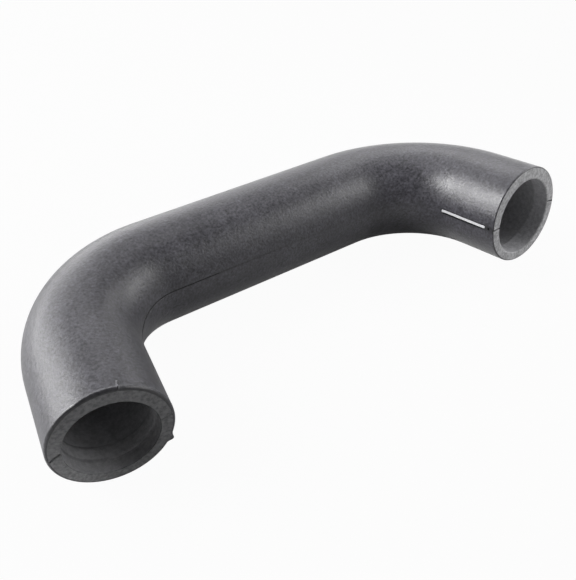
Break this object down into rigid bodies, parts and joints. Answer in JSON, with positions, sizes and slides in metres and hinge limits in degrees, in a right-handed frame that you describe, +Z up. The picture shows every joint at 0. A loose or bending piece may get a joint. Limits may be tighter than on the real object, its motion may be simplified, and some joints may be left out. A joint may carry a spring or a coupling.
{
  "type": "crankcase breather hose",
  "caption": "Moulded rubber hose with a round bore, bent near each end so that both short legs point the same way, with square-cut open ends.",
  "frame": {"origin": "middle of the hose's footprint, on the surface that it lies on", "axes": "+X along the straight middle run towards the end whose leg rises, -Y the way both legs point, +Z up"},
  "size_m": [0.2018, 0.079, 0.0448],
  "materials": {
    "moulded_rubber": "matte, finely grained dark grey moulded rubber",
    "marking_paint": "matte white marking paint"
  },
  "bodies": {
    "root": {"breather_hose": "moulded_rubber"}
  },
  "joints": []
}
